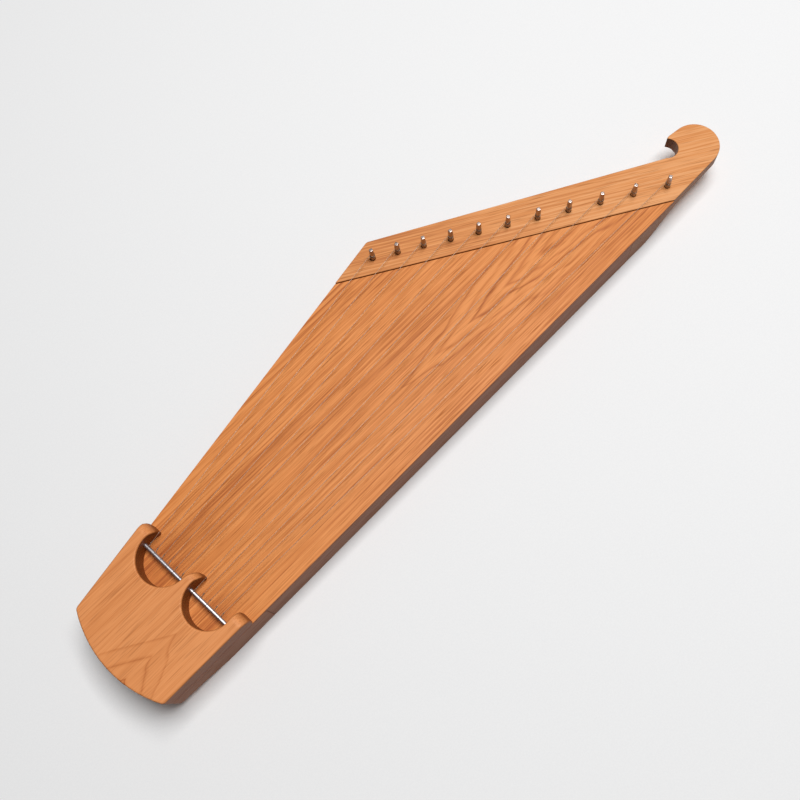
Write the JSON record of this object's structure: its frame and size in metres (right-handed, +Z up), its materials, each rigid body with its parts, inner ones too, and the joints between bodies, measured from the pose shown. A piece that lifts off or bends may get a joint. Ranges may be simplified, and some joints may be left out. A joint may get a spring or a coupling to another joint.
{
  "type": "wing-shaped zither",
  "caption": "Small wing-shaped zither: plain strings run over an open-backed wooden box from a steel bar in the raised tail to turning pins in a slanted, scrolled pin block.",
  "frame": {"origin": "on the surface the instrument lies on, under the middle of its bounding box", "axes": "+X along the straight bass edge from the tail to the scroll, +Y to the treble edge, +Z up out of the soundboard"},
  "size_m": [0.7884, 0.198, 0.064],
  "materials": {
    "body_wood": "satin oiled cherry",
    "board_wood": "satin oiled cherry with open grain",
    "inner_wood": "bare spruce",
    "bar_steel": "bright drawn steel",
    "string_steel": "plain steel music wire",
    "pin_nickel": "nickel-plated steel"
  },
  "bodies": {
    "box": {"tail_block": "body_wood", "tail_cap": "body_wood", "pin_block": "body_wood", "bass_side": "body_wood", "treble_side": "body_wood", "soundboard": "board_wood", "bass_lining": "inner_wood", "treble_lining": "inner_wood", "brace_tail": "inner_wood", "brace_middle": "inner_wood", "brace_head": "inner_wood", "string_bar": "bar_steel", "string_01": "string_steel", "string_02": "string_steel", "string_03": "string_steel", "string_04": "string_steel", "string_05": "string_steel", "string_06": "string_steel", "string_07": "string_steel", "string_08": "string_steel", "string_09": "string_steel", "string_10": "string_steel", "string_11": "string_steel"},
    "pin_01": {"tuning_pin_01": "pin_nickel"},
    "pin_02": {"tuning_pin_02": "pin_nickel"},
    "pin_03": {"tuning_pin_03": "pin_nickel"},
    "pin_04": {"tuning_pin_04": "pin_nickel"},
    "pin_05": {"tuning_pin_05": "pin_nickel"},
    "pin_06": {"tuning_pin_06": "pin_nickel"},
    "pin_07": {"tuning_pin_07": "pin_nickel"},
    "pin_08": {"tuning_pin_08": "pin_nickel"},
    "pin_09": {"tuning_pin_09": "pin_nickel"},
    "pin_10": {"tuning_pin_10": "pin_nickel"},
    "pin_11": {"tuning_pin_11": "pin_nickel"}
  },
  "joints": [
    {"name": "pin_01_turn", "type": "hinge", "parent": "box", "child": "pin_01", "pos_m": [0.0528, 0.08109, 0.0435], "axis": [0, 0, 1], "continuous": true},
    {"name": "pin_02_turn", "type": "hinge", "parent": "box", "child": "pin_02", "pos_m": [0.07497, 0.06713, 0.0435], "axis": [0, 0, 1], "continuous": true},
    {"name": "pin_03_turn", "type": "hinge", "parent": "box", "child": "pin_03", "pos_m": [0.098, 0.05262, 0.0435], "axis": [0, 0, 1], "continuous": true},
    {"name": "pin_04_turn", "type": "hinge", "parent": "box", "child": "pin_04", "pos_m": [0.1219, 0.03758, 0.0435], "axis": [0, 0, 1], "continuous": true},
    {"name": "pin_05_turn", "type": "hinge", "parent": "box", "child": "pin_05", "pos_m": [0.14666, 0.02198, 0.0435], "axis": [0, 0, 1], "continuous": true},
    {"name": "pin_06_turn", "type": "hinge", "parent": "box", "child": "pin_06", "pos_m": [0.17228, 0.00585, 0.0435], "axis": [0, 0, 1], "continuous": true},
    {"name": "pin_07_turn", "type": "hinge", "parent": "box", "child": "pin_07", "pos_m": [0.19876, -0.01083, 0.0435], "axis": [0, 0, 1], "continuous": true},
    {"name": "pin_08_turn", "type": "hinge", "parent": "box", "child": "pin_08", "pos_m": [0.22611, -0.02805, 0.0435], "axis": [0, 0, 1], "continuous": true},
    {"name": "pin_09_turn", "type": "hinge", "parent": "box", "child": "pin_09", "pos_m": [0.25433, -0.04582, 0.0435], "axis": [0, 0, 1], "continuous": true},
    {"name": "pin_10_turn", "type": "hinge", "parent": "box", "child": "pin_10", "pos_m": [0.2834, -0.06413, 0.0435], "axis": [0, 0, 1], "continuous": true},
    {"name": "pin_11_turn", "type": "hinge", "parent": "box", "child": "pin_11", "pos_m": [0.31334, -0.08298, 0.0435], "axis": [0, 0, 1], "continuous": true}
  ]
}
